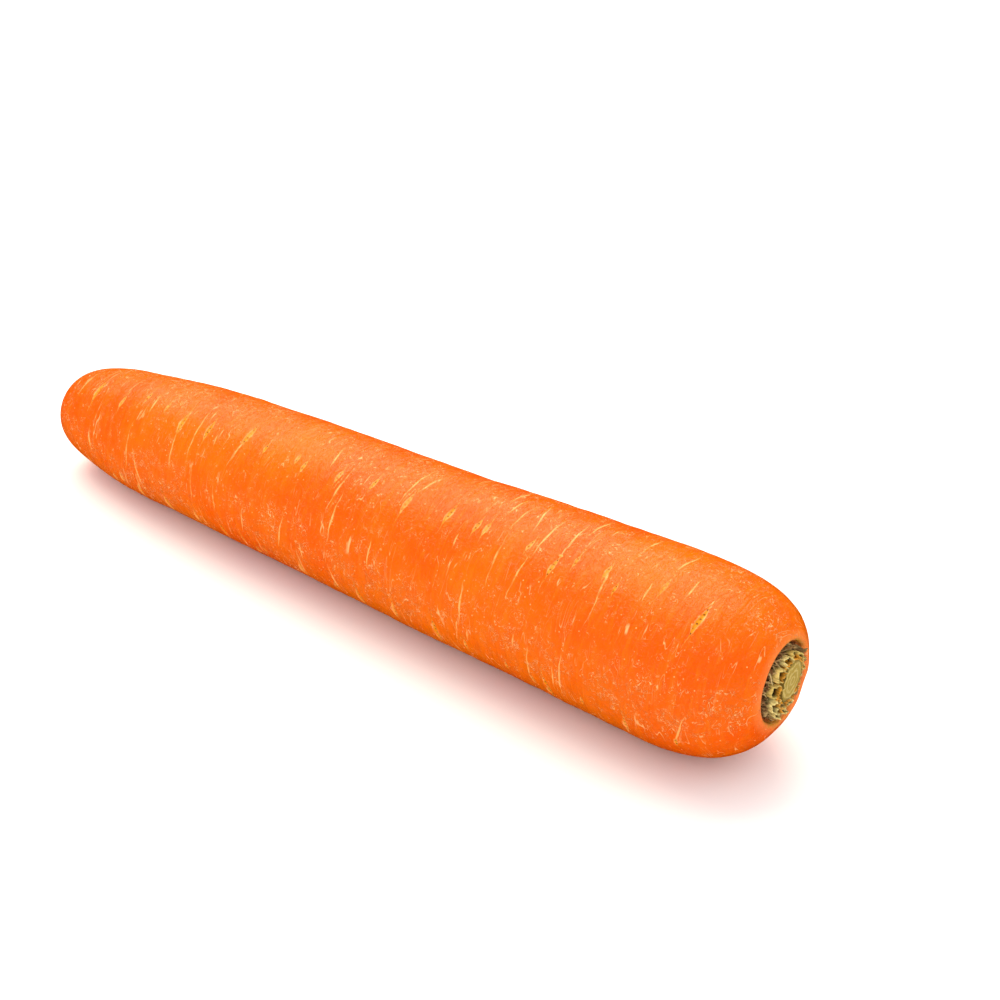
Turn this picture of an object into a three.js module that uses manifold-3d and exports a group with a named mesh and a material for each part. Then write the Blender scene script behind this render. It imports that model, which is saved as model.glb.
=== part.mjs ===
// A topped, washed carrot lying on its side.
//
// Frame: millimetres, +X from the tip to the crown, +Z up, origin at the bottom centre of the box around it.
// The taproot is one solid. At the crown it has a shallow pit, and in the pit stand the pieces that are not
// root: the short stem, the cut bases of the leaf stalks in a ring around it, and outside those the withered
// bases of older leaves.

import * as THREE from "three";
import { mergeVertices } from "three/addons/utils/BufferGeometryUtils.js";
import Module from "manifold-3d";

const wasm = await Module();
wasm.setup();

// ---- Driving dimensions ------------------------------------------------------------------------

const ROOT_LENGTH = 200; // tip to crown, along the root
const TIP_RADIUS = 14.9; // radius that the body's taper starts from at the tip
const CROWN_RADIUS = 19.7; // radius that the taper reaches at the crown
const WAIST = 0.4; // how far the middle of the taper is drawn in
const TIP_CAP = { length: 110, power: 4.3 }; // the rounded tip, a long superellipse
const SHOULDER_CAP = { length: 35, power: 3.3 }; // the square, rounded shoulder
const TIP_DROP = { depth: 1.7, length: 60 }; // the tip hangs below the axis by this depth
const RESTING_DEPTH = 0.45; // how much of the underside is flattened where the root lies

// The pit at the crown. Depths are measured from the crown end of the outline.
const PIT = {
  depth: 3.4,
  floorRadius: 8,
  floorBevel: 0.5,
  rimRadius: 8.5,
  rimDepth: 1.5,
  bendRadius: 8.9,
  bendDepth: 0.8,
  lipRadius: 10,
};
const OVAL = 0.88; // breadth of the pit, and of the ring of leaf bases in it, as a share of their height
const PIT_OFFSET = { y: 1.2, z: 0.6 }; // from the middle of the crown to the middle of the pit
const CROWN_OFFSET = { y: -1.1, z: 0.8 }; // the crown grew a little off the root's axis
const OFFSET_LENGTH = 30; // length of root over which it moves off the axis

const GAP = 0.3; // clearance kept between pieces that touch
const STEM = { radius: 4.2, height: 3.6, edge: 0.35, offset: 0.5 };
const LEAF_STUB = { count: 12, inner: 5.1, outer: 6.9, wall: 0.42, height: 3.3, floor: 0.9, uneven: 0.3 };
// Each withered strip keeps 1 - taper of its width at the tip, and its tip swings by up to sway radians.
const WITHERED_STUB = {
  count: 10,
  radius: 7.5,
  thickness: 0.5,
  height: 2.3,
  uneven: 0.5,
  width: 3.6,
  taper: 0.6,
  lean: 0.16,
  sway: 0.12,
};
const CUT_TILT = -0.05; // rise of the knife's cut per millimetre across the crown

const ROOT_FACETS = 44; // around the root
const STEM_FACETS = 32; // around the stem
const OUTLINE_STEPS = 40; // along the root's outline
const STUB_STEPS = 5; // around a leaf base
const OVERCUT = 5; // how far a cutting solid reaches past what it cuts

// ---- Outline and centre line of the root -------------------------------------------------------

// Radius of the plain taper at distance s from the tip: a straight taper with its middle drawn in.
function taperRadius(s) {
  const t = s / ROOT_LENGTH;
  return TIP_RADIUS + (CROWN_RADIUS - TIP_RADIUS) * t - WAIST * 4 * t * (1 - t);
}

// Share of the taper that is left at distance d from an end: a quarter of a superellipse, then 1.
function capShare(d, cap) {
  if (d >= cap.length) return 1;
  return Math.pow(1 - Math.pow(1 - d / cap.length, cap.power), 1 / cap.power);
}

function rootRadius(s) {
  return taperRadius(s) * capShare(s, TIP_CAP) * capShare(ROOT_LENGTH - s, SHOULDER_CAP);
}

// Centre of the root's section at distance s: high enough for the underside to lie level, lower at the tip,
// and moved off the axis near the crown.
function centreLine(s) {
  const nearTip = 1 - THREE.MathUtils.smoothstep(s, 0, TIP_DROP.length);
  const nearCrown = THREE.MathUtils.smoothstep(s, ROOT_LENGTH - OFFSET_LENGTH, ROOT_LENGTH);
  return {
    y: CROWN_OFFSET.y * nearCrown,
    z: taperRadius(s) - RESTING_DEPTH + CROWN_OFFSET.z * nearCrown - TIP_DROP.depth * nearTip,
  };
}

// Where the pit's axis meets the crown end.
function pitCentre() {
  const crown = centreLine(ROOT_LENGTH);
  return { y: crown.y + PIT_OFFSET.y, z: crown.z + PIT_OFFSET.z };
}

// Distances from the tip at which the outline is sampled, closer together towards the two ends.
function outlineSteps() {
  const steps = [];
  for (let i = 0; i <= OUTLINE_STEPS; i += 1) {
    steps.push((ROOT_LENGTH * (1 - Math.cos((Math.PI * i) / OUTLINE_STEPS))) / 2);
  }
  return steps;
}

// A repeatable variation between -1 and 1 that differs from piece to piece.
function vary(index, stride) {
  return Math.sin(index * stride);
}

// ---- Solids ------------------------------------------------------------------------------------

// A closed geometry as a solid: shared vertices merged, triangles that shrank to a line at a pole dropped.
function toSolid(geometry) {
  const bare = geometry.clone();
  bare.deleteAttribute("normal");
  bare.deleteAttribute("uv");
  const merged = mergeVertices(bare, 1e-4);
  const corners = [];
  for (let i = 0; i < merged.index.count; i += 3) {
    const [a, b, c] = [0, 1, 2].map((k) => merged.index.getX(i + k));
    if (a !== b && b !== c && c !== a) corners.push(a, b, c);
  }
  const vertProperties = new Float32Array(merged.attributes.position.array);
  const triVerts = new Uint32Array(corners);
  return new wasm.Manifold(new wasm.Mesh({ numProp: 3, vertProperties, triVerts }));
}

function toGeometry(solid) {
  const mesh = solid.getMesh();
  const geometry = new THREE.BufferGeometry();
  geometry.setAttribute("position", new THREE.BufferAttribute(new Float32Array(mesh.vertProperties), 3));
  geometry.setIndex(new THREE.BufferAttribute(new Uint32Array(mesh.triVerts), 1));
  geometry.computeVertexNormals();
  return geometry;
}

// Moves each vertex of a geometry to where the function puts it.
function reshape(geometry, place) {
  const position = geometry.attributes.position;
  const point = new THREE.Vector3();
  for (let i = 0; i < position.count; i += 1) {
    point.fromBufferAttribute(position, i);
    place(point);
    position.setXYZ(i, point.x, point.y, point.z);
  }
  return geometry;
}

// ---- Taproot -----------------------------------------------------------------------------------

function rootBody() {
  const outline = outlineSteps().map((s) => new THREE.Vector2(rootRadius(s), s));
  const body = new THREE.LatheGeometry(outline, ROOT_FACETS).rotateZ(-Math.PI / 2);
  return toSolid(
    reshape(body, (point) => {
      const centre = centreLine(point.x);
      point.y += centre.y;
      point.z += centre.z;
    }),
  );
}

// The hollow that the pit takes out of the crown, with a lip that flares outwards.
function pitHollow() {
  const end = ROOT_LENGTH;
  const floor = end - PIT.depth;
  const outline = [
    new THREE.Vector2(0, floor),
    new THREE.Vector2(PIT.floorRadius - PIT.floorBevel, floor),
    new THREE.Vector2(PIT.floorRadius, floor + PIT.floorBevel),
    new THREE.Vector2(PIT.rimRadius, end - PIT.rimDepth),
    new THREE.Vector2(PIT.bendRadius, end - PIT.bendDepth),
    new THREE.Vector2(PIT.lipRadius, end),
    new THREE.Vector2(PIT.lipRadius, end + OVERCUT),
    new THREE.Vector2(0, end + OVERCUT),
  ];
  const hollow = new THREE.LatheGeometry(outline, ROOT_FACETS).rotateZ(-Math.PI / 2).scale(1, OVAL, 1);
  const centre = pitCentre();
  return toSolid(hollow.translate(0, centre.y, centre.z));
}

// What lies below the surface that the root rests on.
function groundSlab() {
  const slab = new THREE.BoxGeometry(2 * ROOT_LENGTH, ROOT_LENGTH, 2 * OVERCUT);
  return toSolid(slab.translate(ROOT_LENGTH / 2, 0, -OVERCUT));
}

function taproot() {
  return toGeometry(rootBody().subtract(pitHollow()).subtract(groundSlab()));
}

// ---- Crown pieces ------------------------------------------------------------------------------
// These are made standing on the pit's floor: +Z out of the crown, the stem on the Z axis.

// Height of the knife's cut above the pit's floor, over the point (x, y).
function cutHeight(height, x, y) {
  return height + CUT_TILT * (x - y);
}

// The short stem: a low drum with a rounded edge and a flat cut top.
function stem() {
  const { radius, height, edge, offset } = STEM;
  const outline = [
    new THREE.Vector2(0, GAP),
    new THREE.Vector2(radius, GAP),
    new THREE.Vector2(radius, height - edge),
    new THREE.Vector2(radius - edge, height),
    new THREE.Vector2(0, height),
  ];
  const drum = new THREE.LatheGeometry(outline, STEM_FACETS).rotateX(Math.PI / 2).translate(offset, 0, 0);
  return toGeometry(
    toSolid(
      reshape(drum, (point) => {
        if (point.z > height / 2) point.z = cutHeight(point.z, point.x, point.y);
      }),
    ),
  );
}

// A block that is bent around the stem: a sector between two radii and two angles.
function sector(inner, outer, from, to, low, high) {
  const block = new THREE.BoxGeometry(1, 1, 1, STUB_STEPS, 1, 1);
  return toSolid(
    reshape(block, (point) => {
      const angle = THREE.MathUtils.lerp(to, from, point.x + 0.5);
      const radius = THREE.MathUtils.lerp(inner, outer, point.y + 0.5);
      const isTop = point.z > 0;
      point.x = radius * Math.cos(angle);
      point.y = radius * Math.sin(angle);
      point.z = isTop ? cutHeight(high, point.x, point.y) : low;
    }),
  );
}

// The cut base of one leaf stalk: a short hollow cell, open where the knife passed.
function leafStub(index) {
  const { count, inner, outer, wall, floor } = LEAF_STUB;
  const pitch = (2 * Math.PI) / count;
  const middle = (inner + outer) / 2;
  const from = index * pitch + GAP / 2 / middle;
  const to = (index + 1) * pitch - GAP / 2 / middle;
  const top = LEAF_STUB.height + LEAF_STUB.uneven * vary(index, 2.4);
  const side = wall / middle;
  const block = sector(inner, outer, from, to, GAP, top);
  const hollow = sector(inner + wall, outer - wall, from + side, to - side, floor, top + OVERCUT);
  return toGeometry(block.subtract(hollow));
}

// One withered leaf base: a thin strip that stands along the pit's wall and narrows to its tip.
function witheredStub(index) {
  const { count, radius, thickness, width, taper, lean, sway } = WITHERED_STUB;
  const middle = (2 * Math.PI * index) / count;
  const tall = WITHERED_STUB.height + WITHERED_STUB.uneven * vary(index, 2.1);
  const strip = new THREE.BoxGeometry(1, 1, 1, STUB_STEPS, 1, STUB_STEPS);
  reshape(strip, (point) => {
    const up = point.z + 0.5;
    const across = (point.x * width * (1 - taper * up * up)) / radius;
    const angle = middle - across + sway * vary(index, 3.3) * up;
    const away = radius + thickness * point.y + lean * up;
    point.set(away * Math.cos(angle), away * Math.sin(angle), GAP + tall * up);
  });
  return toGeometry(toSolid(strip));
}

// ---- Materials and assembly --------------------------------------------------------------------

const SKIN = { color: 0xf2690d, roughness: 0.42, metalness: 0 };
const STEM_CUT = { color: 0xa69b4f, roughness: 0.7, metalness: 0 };
const STALK = { color: 0xcdb25f, roughness: 0.65, metalness: 0 };
const WITHERED = { color: 0x5b4630, roughness: 0.85, metalness: 0 };

function piece(name, geometry, finish) {
  const mesh = new THREE.Mesh(geometry, new THREE.MeshStandardMaterial(finish));
  mesh.name = name;
  return mesh;
}

function numbered(name, index) {
  return `${name}_${String(index + 1).padStart(2, "0")}`;
}

function crownPieces() {
  const crown = new THREE.Group();
  crown.add(piece("stem", stem(), STEM_CUT));
  for (let i = 0; i < LEAF_STUB.count; i += 1) {
    crown.add(piece(numbered("leaf_stub", i), leafStub(i), STALK));
  }
  for (let i = 0; i < WITHERED_STUB.count; i += 1) {
    crown.add(piece(numbered("withered_stub", i), witheredStub(i), WITHERED));
  }
  for (const made of crown.children) made.geometry.scale(OVAL, 1, 1);
  const centre = pitCentre();
  crown.rotation.set(Math.PI / 2, Math.PI / 2, 0);
  crown.position.set(ROOT_LENGTH - PIT.depth, centre.y, centre.z);
  return crown;
}

const carrot = new THREE.Group();
carrot.add(piece("taproot", taproot(), SKIN));
carrot.add(crownPieces());

// The origin goes to the bottom centre of the box around the whole carrot.
carrot.updateMatrixWorld(true);
const box = new THREE.Box3().setFromObject(carrot, true);
const middle = box.getCenter(new THREE.Vector3());
carrot.position.set(-middle.x, -middle.y, -box.min.z);
carrot.updateMatrixWorld(true);

export default carrot;
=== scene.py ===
# %% [markdown]
# # A washed carrot, topped and laid on its side
#
# A carrot is one root with a little stem on top. The root is a long, blunt, gently tapering body with a thin,
# moist skin. Its leaves grew from a very short stem that sits in a shallow pit at the crown. When the carrot
# was topped, a knife took the leaves off and left their hollow bases standing in the pit round the cut stem.
#
# The lesson builds these as surfaces worked out with numpy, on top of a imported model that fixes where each
# piece goes.

# %% Tools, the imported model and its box
import math

import bpy
import numpy as np
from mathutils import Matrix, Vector


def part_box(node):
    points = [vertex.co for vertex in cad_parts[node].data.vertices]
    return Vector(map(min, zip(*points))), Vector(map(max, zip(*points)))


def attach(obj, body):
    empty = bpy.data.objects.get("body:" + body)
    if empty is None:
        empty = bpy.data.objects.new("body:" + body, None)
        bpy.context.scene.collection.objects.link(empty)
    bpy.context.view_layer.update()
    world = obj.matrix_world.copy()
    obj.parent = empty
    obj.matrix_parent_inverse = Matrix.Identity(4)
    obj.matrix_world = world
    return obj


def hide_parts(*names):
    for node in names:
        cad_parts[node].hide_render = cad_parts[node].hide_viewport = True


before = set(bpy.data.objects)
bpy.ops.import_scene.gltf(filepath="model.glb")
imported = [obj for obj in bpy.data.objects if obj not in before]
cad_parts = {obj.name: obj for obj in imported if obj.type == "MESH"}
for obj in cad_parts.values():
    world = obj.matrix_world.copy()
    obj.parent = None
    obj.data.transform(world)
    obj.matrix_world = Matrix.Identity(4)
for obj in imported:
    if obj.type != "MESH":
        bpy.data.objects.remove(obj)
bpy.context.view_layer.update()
MM = 0.001

# %% [markdown]
# ## From a formula to a mesh
#
# Each piece here is a closed tube-like surface: rings of points that follow each other along a path, closed
# by one point at each end. A lathe tool or a curve with a bevel could make some of them, but a formula on a
# grid can also carry grooves, ragged edges and a value for the material at each point, so all of them are
# made this way.


# %% A closed surface from rings of points
def ring_faces(rings, around, start):
    """Quads between neighbouring rings, and a fan of triangles to a pole at each end. Vertex start is the
    first pole, ring i starts at start + 1 + i * around, and the vertex after the last ring is the second
    pole. The order of corners makes every face point outwards where each ring turns anticlockwise, seen from
    the end that the path runs towards."""
    i, j = np.meshgrid(np.arange(rings - 1), np.arange(around), indexing="ij")
    following = (j + 1) % around
    this, upper = start + 1 + i * around, start + 1 + (i + 1) * around
    quads = np.stack([this + j, this + following, upper + following, upper + j], -1)
    place = np.arange(around)
    after = (place + 1) % around
    first, last = start + 1, start + 1 + (rings - 1) * around
    first_fan = np.stack([np.full_like(place, start), first + after, first + place], -1)
    last_fan = np.stack([np.full_like(place, last + around), last + place, last + after], -1)
    return quads.reshape(-1, 4).tolist() + first_fan.tolist() + last_fan.tolist()


def closed_surface(name, parts):
    """A mesh object of one or more closed surfaces. Each part is a dict: rings (rings x around x 3, in
    metres), and values, which names arrays of the rings' shape, with one number or three at each point for
    the material. A pole is the mean of its ring."""
    points, faces, values, start = [], [], {}, 0
    for part in parts:
        rings = part["rings"]
        points += [rings[0].mean(0)[None], rings.reshape(-1, 3), rings[-1].mean(0)[None]]
        count, around = rings.shape[:2]
        faces += ring_faces(count, around, start)
        start += count * around + 2
        for key, value in part["values"].items():
            by_ring = value.reshape(count, around, -1)
            flat = by_ring.reshape(count * around, -1)
            values.setdefault(key, []).extend([by_ring[0].mean(0)[None], flat, by_ring[-1].mean(0)[None]])
    mesh = bpy.data.meshes.new(name)
    mesh.from_pydata(np.concatenate(points).tolist(), [], faces)
    for key, chunks in values.items():
        data = np.concatenate(chunks)
        wide = data.shape[1] == 3
        layer = mesh.attributes.new(key, "FLOAT_VECTOR" if wide else "FLOAT", "POINT")
        layer.data.foreach_set("vector" if wide else "value", data.astype(np.float32).ravel())
    mesh.shade_smooth()
    made = bpy.data.objects.new(name, mesh)
    bpy.context.scene.collection.objects.link(made)
    return made


def enclosed(made):
    """Volume inside a closed mesh in cubic millimetres, from the signed volumes of its triangles. Above 0
    when every face points outwards."""
    mesh = made.data
    mesh.calc_loop_triangles()
    at = np.empty(len(mesh.vertices) * 3)
    mesh.vertices.foreach_get("co", at)
    corners = np.empty(len(mesh.loop_triangles) * 3, np.int32)
    mesh.loop_triangles.foreach_get("vertices", corners)
    a, b, c = at.reshape(-1, 3)[corners.reshape(-1, 3)].transpose(1, 0, 2)
    return float((a * np.cross(b, c)).sum() / 6 / MM**3)


def ease(low, high, value):
    """0 below low, 1 above high, and a smooth S between them."""
    share = np.clip((value - low) / (high - low), 0, 1)
    return share * share * (3 - 2 * share)


print("three rings of four points make", len(ring_faces(3, 4, 0)), "faces")

# %% [markdown]
# ## The root's outline
#
# The body is a straight taper, drawn in a little at its middle. Superellipses round off its two ends: a long
# soft one at the tip and a short square one at the shoulder. At the crown the outline turns over a soft lip
# into the pit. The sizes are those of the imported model, so the new skin lies on the old solid. Lengths in
# every formula here are in millimetres.

# %% Outline and centre line
ROOT_LENGTH = 200.0
TIP_RADIUS, CROWN_RADIUS = 14.9, 19.7  # radius of the plain taper at its two ends
WAIST = 0.4  # how far the taper is drawn in at its middle
TIP_CAP, TIP_POWER = 110.0, 4.3  # length and power of the superellipse that rounds the tip
SHOULDER_CAP, SHOULDER_POWER = 35.0, 3.3  # and of the one at the shoulder
TIP_DROP, DROP_LENGTH = 1.7, 60.0  # how low the tip hangs, and over what length
RESTING_DEPTH = 0.45  # how far the round underside would reach below the floor
CROWN_Y, CROWN_Z = -1.1, 0.8  # the crown's place off the body's axis
OFFSET_LENGTH = 30.0  # the length over which the axis leads there
PIT_Y, PIT_Z, OVAL = 1.2, 0.6, 0.88  # the pit's place off the crown's middle, and its breadth over its height
PIT_DEPTH, PIT_FLOOR_RADIUS, RIM_RADIUS = 3.4, 7.6, 8.35
LIP = 0.8  # radius of the lip's rounding
LIP_TURN = math.radians(20)  # how far the shoulder's surface has turned when it reaches the lip
WALL_FOOT = 0.4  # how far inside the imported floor's edge the wall ends
INNERMOST = 0.05  # radius of the last ring on the pit's floor
BODY_STEPS, LIP_STEPS, WALL_STEPS, FLOOR_STEPS = 4000, 60, 40, 60  # points along each part of the outline


def taper(s):
    """Radius of the body before its ends are rounded, at a distance s from the tip."""
    t = s / ROOT_LENGTH
    return TIP_RADIUS + (CROWN_RADIUS - TIP_RADIUS) * t - WAIST * 4 * t * (1 - t)


def cap(distance, length, power):
    """Share of the radius left at a distance d from an end: (1 - (1 - d / length)^power)^(1 / power), a
    quarter of a superellipse, then 1."""
    inside = np.clip(1 - distance / length, 0, 1)
    return np.clip(1 - inside**power, 0, 1) ** (1 / power)


def skin_radius(s):
    """Radius of the body from the tip to the shoulder."""
    return taper(s) * cap(s, TIP_CAP, TIP_POWER) * cap(ROOT_LENGTH - s, SHOULDER_CAP, SHOULDER_POWER)


def centre(s):
    """Sideways and upward place of the root's centre line: a level underside, a low tip, and the crown off
    the axis."""
    crown = ease(ROOT_LENGTH - OFFSET_LENGTH, ROOT_LENGTH, s)
    tip = 1 - ease(0, DROP_LENGTH, s)
    return CROWN_Y * crown, taper(s) - RESTING_DEPTH + CROWN_Z * crown - TIP_DROP * tip


def outline(steps):
    """Points (s, radius) from the tip over the shoulder, round the lip and down to the middle of the pit's
    floor, evenly spaced, and each point's distance along the outline from the rim, below 0 inside the pit."""
    s = ROOT_LENGTH * (1 - np.cos(np.linspace(0, np.pi, BODY_STEPS))) / 2
    radius = skin_radius(s)
    lip_start = RIM_RADIUS + LIP + LIP * math.sin(LIP_TURN)
    keep = (s < ROOT_LENGTH / 2) | (radius > lip_start)
    s, radius = s[keep], radius[keep]
    turn = np.linspace(LIP_TURN, -np.pi / 2, LIP_STEPS)
    lip_s = s[-1] + LIP * (np.cos(turn) - math.cos(LIP_TURN))
    lip_radius = radius[-1] + LIP * (np.sin(turn) - math.sin(LIP_TURN))
    floor_s = ROOT_LENGTH - PIT_DEPTH
    down = np.linspace(0, np.pi / 2, WALL_STEPS)[1:]
    foot = PIT_FLOOR_RADIUS - WALL_FOOT
    wall_s = lip_s[-1] + (floor_s - lip_s[-1]) * np.sin(down)
    wall_radius = foot + (lip_radius[-1] - foot) * np.cos(down)
    floor_radius = np.linspace(wall_radius[-1], INNERMOST, FLOOR_STEPS)[1:]
    all_s = np.concatenate([s, lip_s[1:], wall_s, np.full_like(floor_radius, floor_s)])
    all_radius = np.concatenate([radius, lip_radius[1:], wall_radius, floor_radius])
    walked = np.concatenate([[0], np.cumsum(np.hypot(np.diff(all_s), np.diff(all_radius)))])
    even = np.linspace(0, walked[-1], steps + 1)[1:]
    rim = walked[len(s) + LIP_STEPS // 2 - 2]  # about halfway round the lip
    return np.interp(even, walked, all_s), np.interp(even, walked, all_radius), rim - even


RINGS, AROUND = 740, 134
ring_s, ring_radius, from_rim = outline(RINGS)
angle = np.arange(AROUND) * 2 * np.pi / AROUND
print("outline:", RINGS, "rings, radius up to", ring_radius.max().round(2), "mm")
print("length to the lip:", ring_s.max().round(2), "mm")

# %% [markdown]
# ## Relief of the skin
#
# A carrot's skin isn't smooth. Broad swellings, dents and shallow rings lie round the root where it grew
# faster or slower, and short pleats where the shoulder turns into the pit. Among them are the scars of side
# roots, in four rows a quarter turn apart. Each is a short slit that runs round the root. A sculpted or
# noise-driven surface could do this, but rows of slits need a place, a length and a width each, so they are
# drawn at random from a seeded generator and worked out one after the other over the whole grid.

# %% Swellings and rings
rng = np.random.default_rng(41)
# Swellings and dents, rings, and ripples: how many waves, their pitch along the root, most turns, and size.
SWELLINGS = [(7, (30, 90), 3, 0.17), (16, (9, 22), 5, 0.035), (30, (3, 9), 6, 0.016)]
PLEAT_HEIGHT, PLEAT_PLACE, PLEAT_REACH = 0.09, 1.5, 2.5  # place and reach are distances from the pit's rim


def waves(count, pitch, turns, size):
    """Sum of sine waves over the skin. Each has its own pitch along the root, a whole number of turns round
    it, and its own start, so the sum closes on itself round the root."""
    total = np.zeros((RINGS, AROUND))
    for _ in range(count):
        lean = rng.integers(-turns, turns + 1)
        start = rng.uniform(0, 2 * np.pi)
        total += np.sin(2 * np.pi * ring_s[:, None] / rng.uniform(*pitch) + lean * angle + start)
    return size * total / math.sqrt(count)


on_skin = ease(-0.2, 1.5, from_rim)[:, None]
off_tip = ease(2, 14, ring_s)[:, None]
relief = sum(waves(*group) for group in SWELLINGS) * off_tip * on_skin
pleats = np.cos(7 * angle + 0.6) + 0.6 * np.cos(11 * angle + 2.0)
relief += PLEAT_HEIGHT * pleats * np.exp(-(((from_rim[:, None] - PLEAT_PLACE) / PLEAT_REACH) ** 2)) * on_skin
print("relief between", relief.min().round(2), "and", relief.max().round(2), "mm")

# %% Scars of side roots, in four rows
ROWS = [math.radians(a) for a in (121, 207, 32, 298)]
FIRST_SCAR, LAST_SCAR = 12.0, 193.0
CROWDED = 0.22  # share of scars with the next one close by
HAIRLINES = 110
BOW = 0.12  # how far a slit strays from a straight line
SPINDLE_POWER = 1.5
TAIL_WIDTH, TAIL_SHARE = 0.05, 2.0  # half width of the hairline tail, and where it ends, in half lengths
EDGE_HEIGHT, EDGE_PLACE = 0.35, 2.2  # raised edges beside a slit: share of its depth, place in half widths


def grow_scars():
    """One row per scar: place along the root, angle, half length round the root, half width along it, depth,
    slant, and how golden its slit is, which is 0 for a plain hairline."""
    found = []
    for row in ROWS:
        s = FIRST_SCAR + rng.uniform(0, 6)
        while s < LAST_SCAR:
            big = rng.uniform() ** 1.4  # 0 for the smallest scar and 1 for the largest, with more small ones
            found.append((
                s, row + rng.normal(0, 0.07), 1.1 + 2.6 * big,
                0.19 + 0.31 * big * rng.uniform(0.7, 1.2), 0.10 + 0.16 * big, rng.normal(0, 0.06),
                rng.uniform(0.5, 1.0),
            ))
            s += rng.uniform(2.2, 4.0) if rng.uniform() < CROWDED else rng.uniform(6.0, 11.5)
    for _ in range(HAIRLINES):
        found.append((
            rng.uniform(8, 190), rng.choice(ROWS) + rng.normal(0, 0.42), rng.uniform(0.8, 3.4),
            rng.uniform(0.02, 0.08), rng.uniform(0.02, 0.06), rng.normal(0, 0.12), 0.0,
        ))
    return np.array(found)


def scar_field(scars):
    """For each point of the skin, its nearest scar. A scar is a spindle: with the share t of the half length,
    its half width shrinks as (1 - t^2)^1.5, and a hairline tail runs on past both ends. Its section is
    exp(-1.2 x^2), with x in half widths, between two raised edges. Returns the relief that all scars cut, and
    two vectors of the nearest one: the distance across and along in mm and how near it is, and its half width
    and half length in mm and how golden it is. The material draws the lines from these, finer than the
    grid."""
    side = slice(0, RINGS * 9 // 10)  # the part of the outline along which s still grows
    cut = np.zeros((RINGS, AROUND))
    best = np.full((RINGS, AROUND), 9.0)  # farther than any point that a scar reaches
    place_in = np.zeros((RINGS, AROUND, 3))
    size_of = np.ones((RINGS, AROUND, 3))
    for s, place, half_length, half_width, depth, slant, gold in scars:
        radius = np.interp(s, ring_s[side], ring_radius[side])
        turn = (angle - place + np.pi) % (2 * np.pi) - np.pi
        along = np.broadcast_to(radius * turn, cut.shape)
        t = along / half_length
        bow = BOW * np.sin(1.4 * along + 9 * place) * np.clip(np.abs(t), 0, 1)
        across = ring_s[:, None] - s - slant * along + bow
        tail = TAIL_WIDTH * np.clip(1 - (t / TAIL_SHARE) ** 2, 0, 1)
        width = half_width * np.clip(1 - t * t, 0, 1) ** SPINDLE_POWER + tail
        share = across / np.maximum(width, 0.02)
        slit = np.exp(-1.2 * share**2) - EDGE_HEIGHT * np.exp(-0.5 * (np.abs(share) - EDGE_PLACE) ** 2)
        cut -= depth * slit * np.clip(1 - (t / 1.3) ** 2, 0, 1)
        reach = (across / max(1.2, 2.2 * half_width)) ** 2 + (t / TAIL_SHARE) ** 2
        nearer = reach < best
        best = np.where(nearer, reach, best)
        place_in[nearer] = np.stack([across, along, 0 * along], -1)[nearer]
        size_of[nearer] = half_width, half_length, gold
    place_in[..., 2] = (1 - ease(0.55, 0.95, best)) * on_skin
    return cut * on_skin, place_in, size_of


scars = grow_scars()
scar_cut, scar_place, scar_size = scar_field(scars)
relief += scar_cut
print(len(scars), "scars, deepest cut", scar_cut.min().round(2), "mm")

# %% [markdown]
# ## The root
#
# Each ring of the grid is a circle of the outline's radius round the centre line. The relief then moves each
# point along the surface's normal, and the underside is eased flat where the root rests. The grid also
# carries what the skin's material needs: the nearest scar, the distance from the pit's rim, how dry the skin
# is, and where sap has stained the rim.


# %% The root's surface
CONTACT = 0.2  # how softly the skin bends into the flat strip it rests on


def root_rings():
    """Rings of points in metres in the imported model's frame, whose box fixes where the formula's own frame
    lies. Towards the pit the rings move to its middle and grow narrower than they are high. Heights z below
    the floor are eased up to it: (z + sqrt(z^2 + c^2)) / 2 with the contact's softness c."""
    side, height = centre(np.where(from_rim > 0, ring_s, ROOT_LENGTH))
    pit = np.where(ring_s > ROOT_LENGTH / 2, 1 - ease(RIM_RADIUS + LIP, CROWN_RADIUS * 0.9, ring_radius), 0)
    side, height = side + PIT_Y * pit, height + PIT_Z * pit
    breadth = 1 - (1 - OVAL) * pit[:, None]
    slope_s, slope_r = np.gradient(ring_s), np.gradient(ring_radius)
    size = np.hypot(slope_s, slope_r)
    out_s, out_r = -slope_r / size, slope_s / size
    radius = ring_radius[:, None] + relief * out_r[:, None]
    x = ring_s[:, None] + relief * out_s[:, None]
    y = side[:, None] + radius * np.cos(angle) * breadth
    z = height[:, None] + radius * np.sin(angle)
    z = (z + np.sqrt(z**2 + CONTACT**2)) / 2
    low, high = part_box("taproot")
    plain = centre(ring_s)[0]
    middle = ((plain + ring_radius).max() + (plain - ring_radius).min()) / 2
    return np.stack([x * MM + low.x, (y - middle) * MM + (low.y + high.y) / 2, (z - z.min()) * MM], -1)


rim_distance = np.broadcast_to(from_rim[:, None], relief.shape)
dryness = ease(-0.5, 1.0, np.cos(4 * angle) + waves(8, (25, 80), 3, 0.8))
stain = np.abs(np.sin(angle + 0.35)) ** 4 * np.exp(-(((from_rim[:, None] + 0.5) / 0.9) ** 2))
root = closed_surface("carrot_root", [{
    "rings": root_rings(),
    "values": {
        "scar_place": scar_place,
        "scar_size": scar_size,
        "rim_distance": rim_distance,
        "dryness": dryness,
        "stain": stain,
    },
}])
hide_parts("taproot")
print("root:", len(root.data.polygons), "faces,", round(enclosed(root) / 1000), "cm3")


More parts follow.
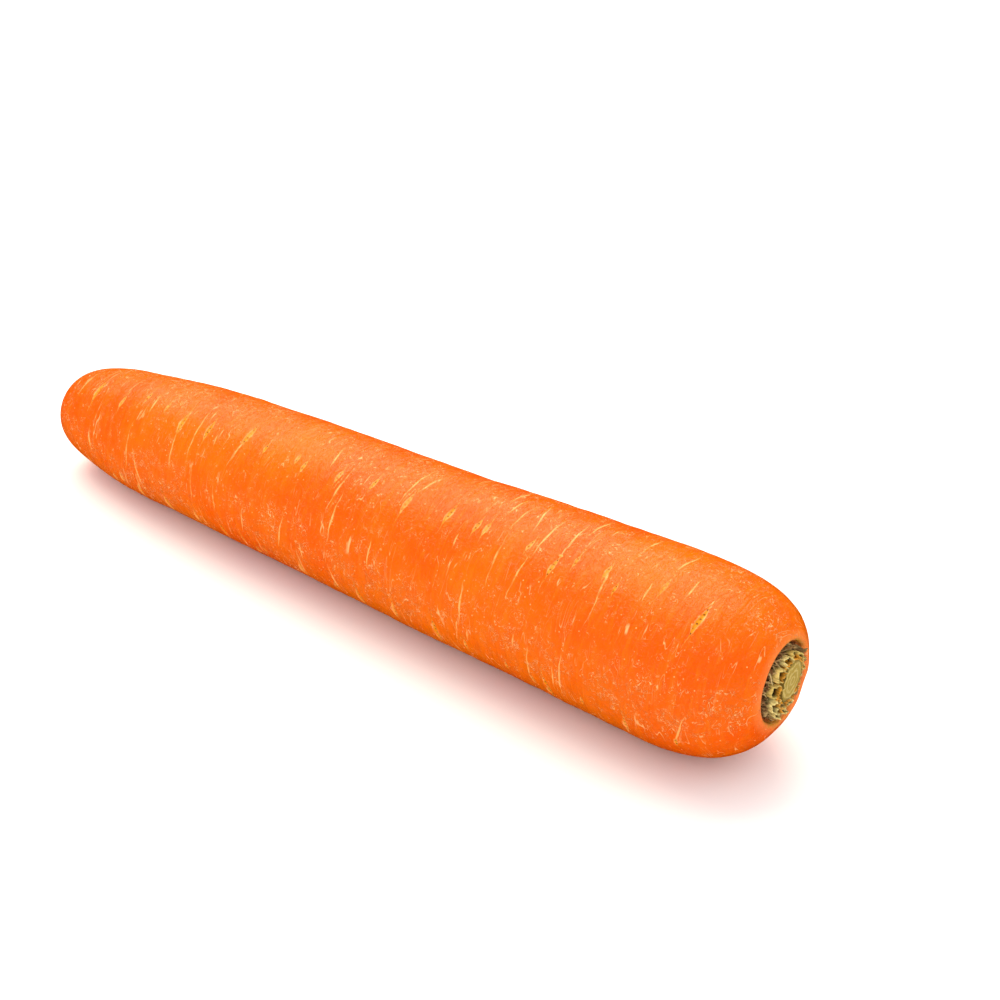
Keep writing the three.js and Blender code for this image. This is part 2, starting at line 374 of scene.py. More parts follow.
# %% The root's own map, for a bake of its material
def unroll(made, rings, around):
    """A UV map that unrolls the root: once round it is the map's width, and tip to pit is its height. A face
    that closes a ring gets 1 instead of 0 at its far side, and a face at a pole gets the pole above its own
    middle."""
    mesh = made.data
    corner = np.empty(len(mesh.loops), np.int64)
    mesh.loops.foreach_get("vertex_index", corner)
    count = np.empty(len(mesh.polygons), np.int64)
    mesh.polygons.foreach_get("loop_total", count)
    face = np.repeat(np.arange(len(count)), count)
    ring = np.clip((corner - 1) // around, 0, rings - 1)
    turn = (corner - 1) % around
    pole = (corner == 0) | (corner == rings * around + 1)
    first = np.full(len(count), around)
    np.minimum.at(first, face[~pole], turn[~pole])
    seam = np.zeros(len(count), bool)
    seam[face[~pole & (turn == around - 1)]] = True
    wrapped = seam[face] & (turn == 0) & ~pole
    u = np.where(wrapped, 1.0, turn / around)
    own_first = np.where((first[face] == 0) & seam[face], around - 1, first[face])
    u = np.where(pole, (own_first + 0.5) / around, u)
    v = np.where(corner == 0, 0.0, np.where(pole, 1.0, (ring + 1) / (rings + 1)))
    layer = mesh.uv_layers.new(name="OFBake")
    layer.uv.foreach_set("vector", np.stack([u, v], -1).astype(np.float32).ravel())


unroll(root, RINGS, AROUND)
print("map:", [layer.name for layer in root.data.uv_layers])

# %% [markdown]
# ## The crown
#
# What stands in the pit isn't root. In the middle is the stem, cut flat, with a lumpy collar of dried sap
# round its foot. Round it stand the bases of the leaf stalks, each a short hollow cell with a thin wall.
# Outside them the bases of older leaves have dried to brown fibrous strips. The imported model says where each
# of them stands. Its plain blocks are replaced by surfaces with ragged cut edges.

# %% Where the crown is
leaf_nodes = sorted(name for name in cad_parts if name.startswith("leaf_stub"))
withered_nodes = sorted(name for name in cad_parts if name.startswith("withered_stub"))
lowest, highest = (np.array([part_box(node)[end] for node in leaf_nodes]) / MM for end in (0, 1))
CROWN = np.append(lowest[:, 0].min(), (lowest[:, 1:].min(0) + highest[:, 1:].max(0)) / 2)
CUT_TILT = -0.05  # rise of the cut across the crown, in mm per mm


def in_crown(radius, turn, height):
    """Place in metres of a point at a height over the pieces' feet, and at a radius and angle round the pit's
    axis. The ring is an oval, a little narrower than it is high."""
    y = radius * np.cos(turn) * OVAL
    z = radius * np.sin(turn)
    return np.stack(np.broadcast_arrays(CROWN[0] + height, CROWN[1] + y, CROWN[2] + z), -1) * MM


def turn_of(node):
    """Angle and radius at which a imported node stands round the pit's axis, from the middle of its box."""
    low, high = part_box(node)
    y = ((low.y + high.y) / 2 / MM - CROWN[1]) / OVAL
    z = (low.z + high.z) / 2 / MM - CROWN[2]
    return math.atan2(z, y), math.hypot(y, z)


def room_at(turn):
    """0 where the stem stands close to the pit's wall, and 1 on the other side, where it leaves most room."""
    return (1 - math.cos(turn)) / 2


def ripple(turn, count, seed):
    """A wavy line that closes round a ring, mostly between -1 and 1: sine waves with whole numbers of
    turns."""
    own = np.random.default_rng(seed)
    total = 0
    for k in range(1, count + 1):
        total = total + own.normal() * np.sin(k * turn + own.uniform(0, 2 * np.pi)) / math.sqrt(count)
    return total


print("crown stands at", CROWN.round(1), "mm")

# %% The cut stem
STEM_RADIUS = 4.25
STEM_TOP = 3.3  # height over the leaf bases' feet
STEM_OFFSET = 1.0  # how far it leans off the pit's middle
STEM_SIDES, SIDE_RINGS, CUT_RINGS = 144, 24, 46
SAP_THICKNESS, SAP_LUMPS = 0.62, 0.20  # of the collar of dried sap, and of the lumps on it
SAP_TOP = (0.62, 0.96)  # shares of the stem's height between which the collar ends
TOOTH, RIDGE, RIDGES = 0.14, 0.10, 3.2  # height of the edge's teeth and of the cut's ridges, and their number


def stem_part():
    """Rings from the stem's foot up its side, over a ragged edge and in to the middle of the cut. Low ridges
    run round the cut where the stem's tissues lie in rings, and the knife left its edge in teeth. Sap has
    dried to a lumpy collar round the side. For the material, ring is the share of the stem's radius, and sap
    is 1 on the collar."""
    turn = np.arange(STEM_SIDES) * 2 * np.pi / STEM_SIDES
    share = np.concatenate([np.full(SIDE_RINGS, 1.0), np.linspace(1, 0.02, CUT_RINGS)])[:, None]
    rise = np.concatenate([np.linspace(0, 1, SIDE_RINGS), np.full(CUT_RINGS, 1.0)])[:, None]
    lumps = SAP_THICKNESS + SAP_LUMPS * ripple(turn + 1.2 * rise, 16, 31) * np.sin(9 * rise + 3 * turn)
    collar = lumps * (1 - ease(*SAP_TOP, rise + 0.08 * ripple(turn, 14, 33)))
    teeth = TOOTH * ripple(turn, 22, 5) + 0.10 * np.abs(np.sin(9.5 * turn + ripple(turn, 5, 6)))
    radius = share * (STEM_RADIUS + 0.10 * ripple(turn, 5, 3) + teeth * rise * share**4)
    ring = radius / STEM_RADIUS
    radius = radius + collar
    sap = ease(0.08, 0.3, collar)
    ridges = RIDGE * np.sin(2 * np.pi * ring * RIDGES + 0.8 * ripple(turn, 4, 8)) * ring
    edge = ease(0.82, 1.0, ring)
    slope = CUT_TILT * radius * (np.cos(turn) - np.sin(turn))
    top = STEM_TOP + slope + ridges - 0.25 * edge + 0.2 * edge * ripple(turn, 26, 9)
    rings = in_crown(radius, turn, rise * top)
    rings[..., 1:] += np.array([STEM_OFFSET * OVAL, STEM_OFFSET / 2]) * MM
    return {"rings": rings, "values": {"ring": ring, "sap": sap}}


stem = closed_surface("cut_stem", [stem_part()])
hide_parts("stem")
print("stem:", len(stem.data.polygons), "faces,", round(enclosed(stem), 1), "mm3")

# %% The hollow bases of the leaf stalks
CELL_DEPTH, CELL_HALF_BREADTH = 2.2, 1.60  # a cell's size towards the stem, and half its size round it
CELL_WALL, CELL_HEIGHT = 0.24, 3.15
CELL_SIDES = 64
BOX_SHARE = 0.62  # 2 / power of the superellipse that a cell's section is
CORNER_RISE, OUTER_DIP = 0.35, 0.45  # how far the rim's corners stand up, and its outer middle dips
SPLAY = 0.06  # how far a cell leans outwards per millimetre of height


def boxed(wave):
    """A sine or cosine made squarer: its sign times its size to the power BOX_SHARE."""
    return np.sign(wave) * np.abs(wave) ** BOX_SHARE


def stalk_part(node, number):
    """A cup with a thin wall. Its section is a rounded box, given as a superellipse of power 3.2, bent round
    the stem. Rings run from the foot up the outer wall, over the cut rim and down inside to the floor. For the
    material, depth is 0 at the rim and grows to 1 towards the bottom of the hollow and to a half towards the
    foot of the outer wall, and the material paints shade with it; tone is the cell's own tint, and inward is 1
    where a wall faces the stem."""
    own = np.random.default_rng(100 + number)
    middle, distance = turn_of(node)
    turn = np.arange(CELL_SIDES) * 2 * np.pi / CELL_SIDES
    box_r = boxed(np.cos(turn))
    box_t = boxed(np.sin(turn)) + 0.35 * own.normal() * box_r * np.abs(box_r)
    # Outer wall, cut rim, inner wall and floor: how far in each ring lies, and its height over the rim's.
    inset = [np.zeros(9), np.linspace(0.06, CELL_WALL - 0.04, 5), np.full(12, CELL_WALL), [0.4, 0.56, 0.7]]
    level = [np.linspace(0, 0.97, 9), np.ones(5), np.linspace(0.96, 0.3, 12), [0.26, 0.25, 0.25]]
    inset, level = (np.concatenate(lengths)[:, None] for lengths in (inset, level))
    room = room_at(middle)
    half_r = CELL_DEPTH / 2 * own.uniform(0.92, 1.05) * (0.62 + 0.48 * room)
    half_t = CELL_HALF_BREADTH * own.uniform(0.94, 1.06)
    wobble = 1 + 0.10 * ripple(turn, 5, 200 + number)
    corner = np.clip(np.abs(box_r * box_t), 0, 1) ** 3
    lean = CORNER_RISE * corner - OUTER_DIP * np.clip(box_r, 0, 1) ** 2 * (1 - corner)
    rim = CELL_HEIGHT + 0.2 * room + 0.15 * own.normal() + 0.2 * ripple(turn, 12, 300 + number) + lean
    height = level * rim
    splay = SPLAY * own.uniform(0.3, 1.6) * height
    middle_radius = distance - 0.15 - 0.25 * room
    radius = middle_radius + splay + (half_r - inset) * box_r * wobble
    spread = middle + 0.05 * own.normal() + (half_t - inset) * box_t * wobble / distance
    lifted = height + CUT_TILT * radius * (np.cos(spread) - np.sin(spread)) * level
    # depth carries painted shade: it grows down inside the hollow and towards the foot of the outer wall.
    depth = ease(CELL_WALL * 0.8, CELL_WALL, inset) * (1 - level) + 0.5 * (1 - ease(0.4, 1, level))
    values = {
        "depth": np.broadcast_to(depth, radius.shape),
        "tone": np.full(radius.shape, own.uniform()),
        "inward": np.broadcast_to(-box_r, radius.shape),
    }
    return {"rings": in_crown(radius, spread, lifted), "values": values}


stalks = []
for number, node in enumerate(leaf_nodes):
    stalk = closed_surface(node.replace("leaf_stub", "cut_leaf_stalk"), [stalk_part(node, number)])
    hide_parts(node)
    stalks.append(stalk)
print("leaf stalks:", len(stalks), "of", len(stalks[0].data.polygons), "faces")
print("the first:", round(enclosed(stalks[0]), 1), "mm3")


# %% The withered leaf bases
STRIP_SIDES, STRIP_STEPS = 20, 12
LOOSE_FIBRES = 21  # beside each broad base
FIBRE_SPREAD = 0.34  # how far to each side of the base they stand, in radians
CURL_FROM, CURL_TO = 0.3, 1.3  # angles in radians between which a base ends in remnants


def strip_part(path, across, out, half_width, half_thick, tone, taper_off):
    """A strip along a path: at each step an ellipse spanned by the direction across and the direction out,
    with five ridges along it. It loses the share taper_off of its width towards its end, and closes at both
    ends. For the material, tone is the strip's own shade, and run is 0 at its foot and 1 at its end."""
    turn = np.arange(STRIP_SIDES) * 2 * np.pi / STRIP_SIDES
    run = np.linspace(0, 1, len(path))
    size = np.clip(1 - (2 * run - 1) ** 12, 0.02, 1) * (1 - taper_off * run**2)
    ridges = 1 + 0.25 * np.cos(5 * turn)
    flat = (half_width * size)[:, None] * np.cos(turn)
    thick = (half_thick * size)[:, None] * np.sin(turn) * ridges
    rings = path[:, None] + flat[..., None] * across[:, None] + thick[..., None] * out[:, None]
    return {"rings": rings, "values": {"tone": np.full(flat.shape, tone), "run": run[:, None] + 0 * flat}}


def withered_parts(node, number):
    """One broad dried leaf base and many loose fibres round it, each leaning and twisting by chance. The
    bases at the upper far side end in two brown remnants each, which stand up and lean outwards."""
    own = np.random.default_rng(400 + number)
    middle, distance = turn_of(node)
    curls = 2 if CURL_FROM < middle < CURL_TO else 0
    parts = []
    for k in range(1 + LOOSE_FIBRES + curls):
        broad, curled = k == 0, k > LOOSE_FIBRES
        run = np.linspace(0, 1, STRIP_STEPS)
        tall = own.uniform(2.2, 2.8) if broad else own.uniform(1.2, 2.2) + room_at(middle) + 1.3 * curled
        place = middle + (0 if broad else own.uniform(-FIBRE_SPREAD, FIBRE_SPREAD))
        bend = np.clip(own.normal(0, 0.10 if broad else 0.22), -0.3, 0.3)
        radius = distance - 0.05 + own.uniform(-0.5, 0.3) * (not broad) + own.uniform(-0.5, 0.3) * run**2
        radius = radius + curled * own.uniform(0.2, 0.9) * run**2.5
        turn = place + bend * run**1.5 + 0.05 * np.sin(run * own.uniform(3, 9))
        path = in_crown(radius, turn, 0.05 + tall * run)
        twist = own.uniform(-0.9, 0.9) * run
        flat = np.stack([0 * turn, -np.sin(turn), np.cos(turn)], -1)
        away = np.stack([0 * turn, np.cos(turn), np.sin(turn)], -1)
        across = np.cos(twist)[:, None] * flat + np.sin(twist)[:, None] * away
        out = np.cos(twist)[:, None] * away - np.sin(twist)[:, None] * flat
        half_width = (own.uniform(1.3, 1.7) if broad else own.uniform(0.10, 0.32) + 0.45 * curled) * MM
        half_thick = (0.2 if broad else own.uniform(0.08, 0.14) + 0.1 * curled) * MM
        tone = own.uniform(0.45, 0.6) if curled else own.uniform()
        taper_off = 0.35 if curled else 0.75
        parts.append(strip_part(path, -across, out, half_width, half_thick, tone, taper_off))
    return parts


withered = []
for number, node in enumerate(withered_nodes):
    dried = closed_surface(node.replace("withered_stub", "dried_leaf_base"), withered_parts(node, number))
    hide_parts(node)
    withered.append(dried)
print("dried bases:", len(withered), "of", len(withered[0].data.polygons), "faces")
print("the first:", round(enclosed(withered[0]), 1), "mm3")

# %% [markdown]
# ## Materials
#
# Colours are given as the hex values that a paint program shows. The renderer works with linear light, so one
# function turns them. Another adds a node: its settings are the node's own, and each input gets a number or a
# link. The short ones after it say what a line of a material does: read a value of the mesh, make a noise,
# stretch a range, reckon or mix.


# %% Helpers for materials
def linear(hex_colour):
    """An sRGB hex colour as linear red, green, blue and alpha."""
    parts = [int(hex_colour[i : i + 2], 16) / 255 for i in (1, 3, 5)]
    return [c / 12.92 if c <= 0.04045 else ((c + 0.055) / 1.055) ** 2.4 for c in parts] + [1.0]


def add(tree, kind, inputs, **settings):
    """Adds one node to the tree, gives it its settings, and gives each of its inputs a value or a link.
    Returns it."""
    node = tree.nodes.new("ShaderNode" + kind)
    for name, value in settings.items():
        setattr(node, name, value)
    for socket, value in inputs.items():
        if isinstance(value, bpy.types.NodeSocket):
            tree.links.new(value, node.inputs[socket])
        else:
            node.inputs[socket].default_value = value
    return node


def blank(name):
    """A new material with an empty tree and its output node."""
    made = bpy.data.materials.new(name)
    made.use_nodes = True
    made.node_tree.nodes.clear()
    return made, made.node_tree, made.node_tree.nodes.new("ShaderNodeOutputMaterial")


def attribute(tree, name, output="Fac"):
    """A value that the mesh carries at each point, read as a number or as a vector."""
    return add(tree, "Attribute", {}, attribute_name=name).outputs[output]


PER_MM = (1000, 1000, 1000)  # units per metre


def stretched(tree, per_metre):
    """Object coordinates times the number of units per metre along x, y and z. With PER_MM, a unit is a
    millimetre."""
    place = add(tree, "TexCoord", {}).outputs["Object"]
    return add(tree, "Mapping", {"Vector": place, "Scale": per_metre}).outputs[0]


def noise(tree, vector, scale, **more):
    """A cloudy noise between 0 and 1. Its details are about 1 / scale units wide."""
    inputs = {key.capitalize(): value for key, value in more.items()}
    return add(tree, "TexNoise", {"Vector": vector, "Scale": scale, **inputs}).outputs[0]


def remap(tree, value, low, high, to_low=0.0, to_high=1.0):
    """Stretches the range low to high onto to_low to to_high, and clamps beyond it."""
    return add(tree, "MapRange", {0: value, 1: low, 2: high, 3: to_low, 4: to_high}).outputs[0]


def reckon(tree, operation, *values):
    """One step of arithmetic on one to three numbers. MULTIPLY_ADD is the first times the second, plus the
    third."""
    return add(tree, "Math", dict(enumerate(values)), operation=operation).outputs[0]


def off_middle(tree, value):
    """How far a noise is from its middle value, 0.5. It is near 0 along thin winding lines."""
    return reckon(tree, "ABSOLUTE", reckon(tree, "SUBTRACT", value, 0.5))


def mix(tree, share, first, second):
    """A mix of two colours, given as hex or as a link, with the second's share."""
    first, second = (linear(c) if isinstance(c, str) else c for c in (first, second))
    return add(tree, "Mix", {0: share, 6: first, 7: second}, data_type="RGBA").outputs[2]


def finish(tree, output, height, strength, distance, **inputs):
    """Ends a material: a bump from height, of the given strength and of a depth in metres, and a surface,
    whose own inputs are named with _ for a space."""
    bump = add(tree, "Bump", {"Height": height, "Strength": strength, "Distance": distance}).outputs[0]
    named = {key.replace("_", " "): value for key, value in inputs.items()}
    surface = add(tree, "BsdfPrincipled", {"Normal": bump, **named})
    tree.links.new(surface.outputs[0], output.inputs["Surface"])


print("middle grey #808080 in linear light:", [round(part, 3) for part in linear("#808080")])

# %% [markdown]
# ### Carrot skin
#
# The skin is a thin moist layer of plant tissue: orange through and through, lightly waxy, with a soft gloss.
# The eye reads it by small things: cross-wise wrinkles that break up the gloss, pale flecks and curls of
# dried outer skin, and golden slits with tiny holes where side roots came out.


# %% Skin material
HOLE_PITCH = 1.1  # mm


def carrot_skin():
    """Orange skin, one layer over the other: clouds, wrinkles, flecks, slits, and the rim of the pit."""
    made, tree, output = blank("carrot_skin_washed")
    # One unit of each pattern below is one millimetre, before its own scale.
    mm = stretched(tree, PER_MM)
    # Patterns that run round the root are drawn out about 6 times across its length.
    cross = stretched(tree, (1000, 160, 160))
    place, size = (attribute(tree, name, "Vector") for name in ("scar_place", "scar_size"))
    scar_across, scar_along, scar_near = add(tree, "SeparateXYZ", {0: place}).outputs
    half_width, half_length, gold = add(tree, "SeparateXYZ", {0: size}).outputs

    # Broad clouds of redder and yellower orange, 20 to 40 mm across.
    cloud = noise(tree, mm, 0.045, detail=3.0, roughness=0.55)
    cloud = remap(tree, cloud, 0.38, 0.62)
    colour = mix(tree, cloud, "#E65600", "#E66600")
    # Duller, paler patches of dry outer skin, in broad bands between the rows of scars.
    dry = noise(tree, mm, 0.16, detail=5.0, roughness=0.65)
    dry = remap(tree, dry, 0.36, 0.62)
    dry = reckon(tree, "MULTIPLY", dry, attribute(tree, "dryness"))
    dull = reckon(tree, "MULTIPLY", dry, 0.7)
    colour = mix(tree, dull, colour, "#E2600C")

    # Wrinkles round the root, about a millimetre apart and several long.
    wrinkle = noise(tree, cross, 0.9, detail=3.0, distortion=0.8)
    shade = remap(tree, wrinkle, 0.48, 0.68, 0.0, 0.35)
    colour = mix(tree, shade, colour, "#EC7610")

    # Hairlines: where a drawn-out noise crosses its middle value, kept only in patches.
    hair = noise(tree, cross, 0.5, detail=1.0, distortion=1.0)
    hair = remap(tree, off_middle(tree, hair), 0.002, 0.010, 0.8, 0.0)
    patch = noise(tree, mm, 0.22, detail=2.0)
    patch = remap(tree, patch, 0.5, 0.6)
    hair = reckon(tree, "MULTIPLY", hair, patch)

    # Curls: the same way from a noise of about 1.3 mm, broken up by a second one, and thicker where the skin
    # is dry. The strong ones are flecks, and the weak ones a faint web between them.
    curl = noise(tree, mm, 0.75, detail=1.5, distortion=1.6)
    curl = off_middle(tree, curl)
    ripples = remap(tree, curl, 0.0, 0.09, 1.0, 0.0)
    curl = remap(tree, curl, 0.004, 0.026, 1.0, 0.0)
    broken = noise(tree, mm, 0.4, detail=4.0, roughness=0.7)
    broken = reckon(tree, "MULTIPLY_ADD", dry, 0.20, broken)
    strong = remap(tree, broken, 0.58, 0.66)
    weak = remap(tree, broken, 0.50, 0.66, 0.0, 0.45)
    faint = reckon(tree, "MULTIPLY", curl, weak)
    curl = reckon(tree, "MULTIPLY", curl, strong)

    # Specks: small pale dots, where the random point in a cell of about 1.7 mm lies close to the surface.
    speck = add(tree, "TexVoronoi", {"Vector": mm, "Scale": 0.6, "Randomness": 1.0}).outputs["Distance"]
    speck = remap(tree, speck, 0.04, 0.11, 1.0, 0.0)
    fleck = reckon(tree, "MAXIMUM", curl, hair)
    fleck = reckon(tree, "MAXIMUM", fleck, speck)
    pale = reckon(tree, "MULTIPLY", fleck, 0.9)
    pale = reckon(tree, "MAXIMUM", pale, faint)
    colour = mix(tree, pale, colour, "#FFBE7C")

    # The slits: a spindle with tails, a wavering edge, a golden middle and a pale outline.
    waver = noise(tree, mm, 1.3, detail=3.0, roughness=0.65)
    waver = remap(tree, waver, 0.3, 0.7, 0.78, 1.28)
    t = reckon(tree, "ABSOLUTE", reckon(tree, "DIVIDE", scar_along, half_length))
    spindle = reckon(tree, "SUBTRACT", 1.0, reckon(tree, "MULTIPLY", t, t))
    spindle = reckon(tree, "POWER", reckon(tree, "MAXIMUM", spindle, 0.0), SPINDLE_POWER)
    tail = remap(tree, t, 0.6, TAIL_SHARE, 0.08, 0.02)
    width = reckon(tree, "MULTIPLY_ADD", half_width, spindle, tail)
    across = reckon(tree, "ABSOLUTE", reckon(tree, "DIVIDE", scar_across, width))
    across = reckon(tree, "MULTIPLY", across, waver)
    golden = reckon(tree, "MULTIPLY", gold, scar_near)
    middle = remap(tree, across, 0.7, 1.05, 1.0, 0.0)
    middle = reckon(tree, "MULTIPLY", middle, golden)
    whole = remap(tree, across, 1.2, 1.7, 1.0, 0.0)
    whole = reckon(tree, "MULTIPLY", whole, scar_near)
    broken_line = remap(tree, broken, 0.42, 0.56, 0.2, 0.88)
    lit = reckon(tree, "MULTIPLY", whole, broken_line)
    colour = mix(tree, lit, colour, "#FFB468")
    colour = mix(tree, middle, colour, "#E88C0C")
    # Tiny brown holes along a slit's middle line, one every HOLE_PITCH, and left out here and there.
    step = reckon(tree, "PINGPONG", scar_along, HOLE_PITCH)
    step = reckon(tree, "SUBTRACT", step, HOLE_PITCH / 2)
    spot = add(tree, "CombineXYZ", {0: scar_across, 1: step}).outputs[0]
    spot = add(tree, "VectorMath", {0: spot}, operation="LENGTH").outputs["Value"]
    hole = remap(tree, spot, 0.12, 0.26, 1.0, 0.0)
    some = noise(tree, mm, 0.9)
    some = remap(tree, some, 0.38, 0.44)
    hole = reckon(tree, "MULTIPLY", hole, some)
    hole = reckon(tree, "MULTIPLY", hole, middle)
    colour = mix(tree, hole, colour, "#8A4A08")

    # The rim of the pit: a pale peach band and stains of sap above and below. Deeper inside the pit, painted
    # shade turns the skin dark brown.
    rim = attribute(tree, "rim_distance")
    peach = remap(tree, rim, -0.5, 2.4, 0.55, 0.0)
    colour = mix(tree, peach, colour, "#F79A5C")
    sap = noise(tree, mm, 0.7, detail=4.0)
    sap = remap(tree, sap, 0.3, 0.55)
    sap = reckon(tree, "MULTIPLY", sap, attribute(tree, "stain"))
    colour = mix(tree, sap, colour, "#B88426")
    # Painted shade: the deeper the skin lies inside the pit, the darker brown it becomes.
    pit = remap(tree, rim, -1.4, -3.0)
    colour = mix(tree, pit, colour, "#5E4020")

    # Relief too fine for the mesh: wrinkles, flecks standing proud, slits and holes sunk.
    fine = noise(tree, mm, 1.4, detail=3.0)
    height = wrinkle
    for part, share in [(fine, 0.3), (ripples, 0.16), (pale, 0.20), (middle, -0.30), (hole, -0.30)]:
        height = reckon(tree, "MULTIPLY_ADD", part, share, height)
    rough = remap(tree, pale, 0.0, 0.6, 0.20, 0.34)
    finish(
        tree, output, height, strength=1.0, distance=0.31 * MM, Base_Color=colour, Roughness=rough, IOR=1.42,
        Specular_IOR_Level=0.29, Subsurface_Weight=0.10, Subsurface_Radius=(1.0, 0.3, 0.05),
        Subsurface_Scale=1.2 * MM,
    )
    return made


root.data.materials.append(carrot_skin())
print("skin:", len(root.data.materials[0].node_tree.nodes), "nodes")

# %% [markdown]
# ### Cut stem, leaf stalks and dried leaf bases
#
# The stem was cut with a knife and has dried: matt, olive green, with paler rings. The stalks' walls are
# straw-coloured at the cut, with amber patches of dried sap, and painted shade darkens them down in their
# hollows and towards the foot of their outer walls. The oldest bases are brown, fibrous and dull, and painted
# shade darkens their feet.


# %% Crown materials
def stem_cut():
    """The stem: rings of paler tissue on its cut, a dark ragged edge, and amber sap on its side."""
    made, tree, output = blank("stem_cut_dried")
    mm = stretched(tree, PER_MM)
    ring = attribute(tree, "ring")
    bent = reckon(tree, "MULTIPLY_ADD", noise(tree, mm, 0.6, detail=3.0), 0.40, ring)
    wave = reckon(tree, "SINE", reckon(tree, "MULTIPLY", bent, 20.0))
    lines = remap(tree, wave, 0.1, 0.9, 0.0, 0.75)
    cells = noise(tree, mm, 2.6, detail=3.0)
    colour = mix(tree, lines, "#A88C3A", "#CDB46A")
    dark = remap(tree, cells, 0.4, 0.7, 0.0, 0.45)
    colour = mix(tree, dark, colour, "#8C7A30")
    edge = remap(tree, ring, 0.86, 1.02, 0.0, 0.75)
    colour = mix(tree, edge, colour, "#5E5424")
    sap = attribute(tree, "sap")
    amber = noise(tree, mm, 1.1, detail=3.0)
    amber = remap(tree, amber, 0.38, 0.62)
    amber = mix(tree, amber, "#B4700C", "#F2AE2C")
    colour = mix(tree, sap, colour, amber)
    height = reckon(tree, "MULTIPLY_ADD", cells, 0.8, lines)
    finish(
        tree, output, height, strength=0.8, distance=0.1 * MM, Base_Color=colour, Roughness=0.7,
        Specular_IOR_Level=0.2,
    )
    return made


def stalk_wall():
    """A leaf stalk's base: straw-coloured walls, amber sap where they face the stem, and painted shade down in
    the hollow and towards the outer wall's foot.
    """
    made, tree, output = blank("leaf_stalk_cut")
    mm = stretched(tree, PER_MM)
    fibres = stretched(tree, (350, 1500, 1500))  # drawn out about 4 times along the stalk
    colour = mix(tree, attribute(tree, "tone"), "#F2E094", "#D6B85C")
    sap = noise(tree, mm, 0.55, detail=3.0)
    sap = reckon(tree, "MULTIPLY_ADD", attribute(tree, "inward"), 0.20, sap)
    sap = remap(tree, sap, 0.55, 0.64, 0.0, 0.9)
    colour = mix(tree, sap, colour, "#E89A1C")
    grain = noise(tree, fibres, 2.0, detail=3.0)
    dark = remap(tree, grain, 0.45, 0.65, 0.0, 0.75)
    colour = mix(tree, dark, colour, "#7E6224")
    # Painted shade: dark brown down in the hollow and towards the foot of the outer wall.
    down = remap(tree, attribute(tree, "depth"), 0.08, 0.6)
    colour = mix(tree, down, colour, "#3C2C0C")
    finish(
        tree, output, grain, strength=0.8, distance=0.15 * MM, Base_Color=colour, Roughness=0.55,
        Specular_IOR_Level=0.3,
    )
    return made


def dried_leaf():
    """A withered leaf base: brown or pale dull fibres, with painted shade darkening the foot."""
    made, tree, output = blank("leaf_base_dried")
    fibres = stretched(tree, (400, 2200, 2200))
    light = remap(tree, attribute(tree, "tone"), 0.40, 0.85)
    colour = mix(tree, light, "#6E4824", "#D6BC80")
    grain = noise(tree, fibres, 1.6, detail=4.0)
    pale = remap(tree, grain, 0.5, 0.68, 0.0, 0.55)
    colour = mix(tree, pale, colour, "#C2A670")
    # Painted shade: the fibres darken towards their foot, down among the other pieces.
    foot = remap(tree, attribute(tree, "run"), 0.0, 0.6, 0.8, 0.0)
    colour = mix(tree, foot, colour, "#2A1D12")
    finish(
        tree, output, grain, strength=1.0, distance=0.2 * MM, Base_Color=colour, Roughness=0.8,
        Specular_IOR_Level=0.2,
    )
    return made


for pieces, finished in [([stem], stem_cut()), (stalks, stalk_wall()), (withered, dried_leaf())]:
    for piece in pieces:
        piece.data.materials.append(finished)
    print(finished.name, "on", len(pieces), "pieces")

# %% Which body each piece belongs to
slots = {"root_skin": [root], "stem_cut": [stem], "leaf_stalk": stalks, "withered_leaf": withered}
for slot, pieces in slots.items():
    for piece in pieces:
        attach(piece, "root")
print("pieces:", sum(len(pieces) for pieces in slots.values()))

# %% [markdown]
# ## Floor, light and camera
#
# The carrot lies on a white sweep under soft light. A large, slightly warm softbox hangs over it and a little
# behind, which draws the broad soft gloss along its back. The surroundings are white and light it from all
# sides, but they don't mirror in the skin, as if they stood far off behind a polariser, so the side that
# faces the viewer keeps its full colour.


# %% Floor
FLOOR_REACH = 30.0  # metres from the middle to each edge


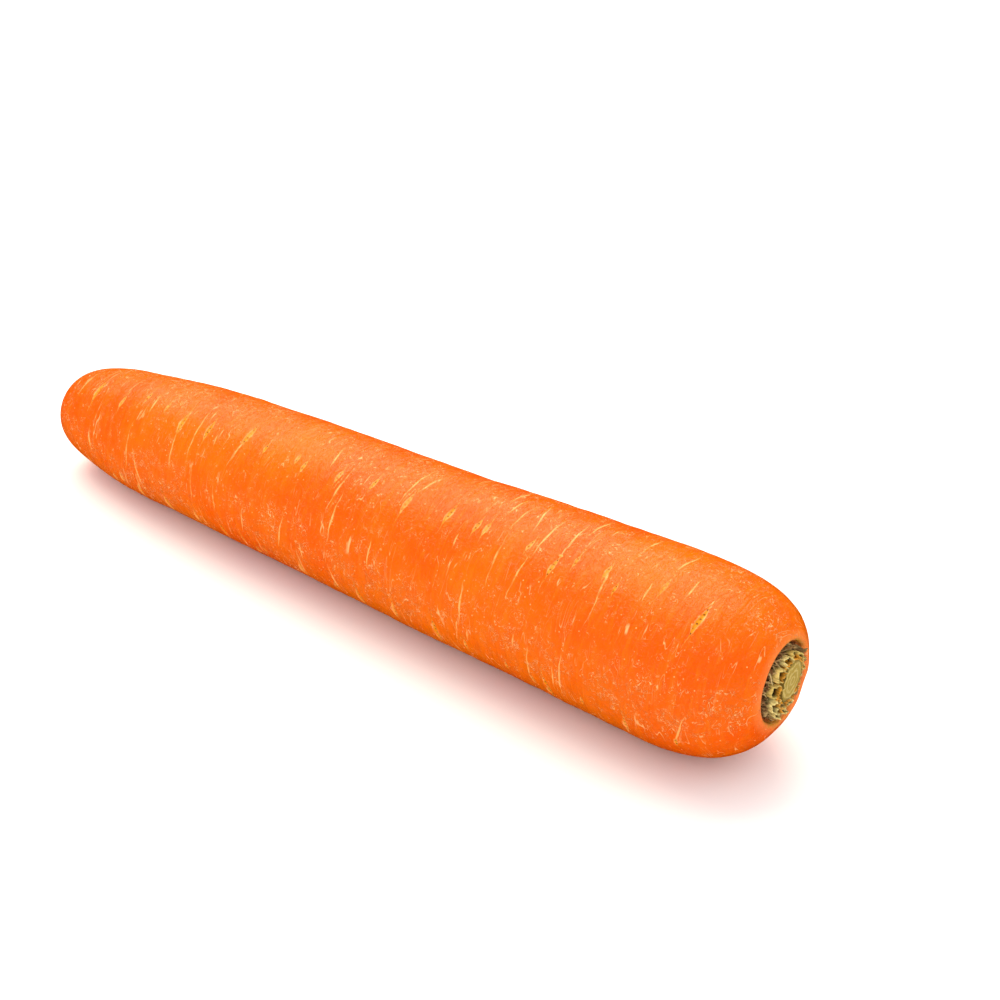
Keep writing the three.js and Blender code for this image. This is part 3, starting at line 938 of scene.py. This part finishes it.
def plain_floor():
    """A flat white sheet under everything, which isn't part of the object."""
    far = FLOOR_REACH
    mesh = bpy.data.meshes.new("white_floor")
    mesh.from_pydata([(-far, -far, 0), (far, -far, 0), (far, far, 0), (-far, far, 0)], [], [(0, 1, 2, 3)])
    made = bpy.data.objects.new("white_floor", mesh)
    bpy.context.scene.collection.objects.link(made)
    paper, tree, output = blank("white_paper_matt")
    surface = add(tree, "BsdfPrincipled", {
        "Base Color": linear("#F4F4F4"), "Roughness": 0.9, "Specular IOR Level": 0.1,
    })
    tree.links.new(surface.outputs[0], output.inputs["Surface"])
    mesh.materials.append(paper)
    made.visible_glossy = False


plain_floor()
print("floor:", FLOOR_REACH, "m each way")


# %% Lights and surroundings
def softbox(name, place, aim, size, power, colour):
    """A rectangular area light at a place in metres, turned to face a point."""
    light = bpy.data.lights.new(name, "AREA")
    light.shape = "RECTANGLE"
    light.size, light.size_y = size
    light.energy = power
    light.color = linear(colour)[:3]
    made = bpy.data.objects.new(name, light)
    made.location = place
    made.rotation_euler = (Vector(aim) - Vector(place)).to_track_quat("-Z", "Y").to_euler()
    bpy.context.scene.collection.objects.link(made)


softbox(
    "overhead_softbox", place=(-0.46, 0.30, 0.80), aim=(0, 0, 0), size=(1.1, 1.1), power=13.0,
    colour="#FFF3DA",
)
world = bpy.data.worlds.new("white_surroundings")
bpy.context.scene.world = world
world.use_nodes = True
surroundings = world.node_tree.nodes["Background"]
surroundings.inputs["Color"].default_value = (1, 1, 1, 1)
surroundings.inputs["Strength"].default_value = 1.25
world.cycles_visibility.glossy = False
bpy.context.scene.view_settings.view_transform = "Standard"
print("light:", [light.name for light in bpy.data.lights], "and", world.name)

# %% Camera
AZIMUTH, ELEVATION = math.radians(39.4), math.radians(30.3)
LOOK_AT = Vector((0.0124, 0.0234, 0.0169))
DISTANCE = 0.404
LENS = 66.8  # mm, on a 36 mm wide sensor

back = Vector((
    math.sin(AZIMUTH) * math.cos(ELEVATION), -math.cos(AZIMUTH) * math.cos(ELEVATION), math.sin(ELEVATION),
))
camera = bpy.data.objects.new("camera", bpy.data.cameras.new("camera"))
camera.data.lens = LENS
camera.data.clip_start = 0.01
camera.location = LOOK_AT + back * DISTANCE
camera.rotation_euler = (-back).to_track_quat("-Z", "Y").to_euler()
bpy.context.scene.collection.objects.link(camera)
bpy.context.scene.camera = camera
print("camera at", [round(v, 3) for v in camera.location])
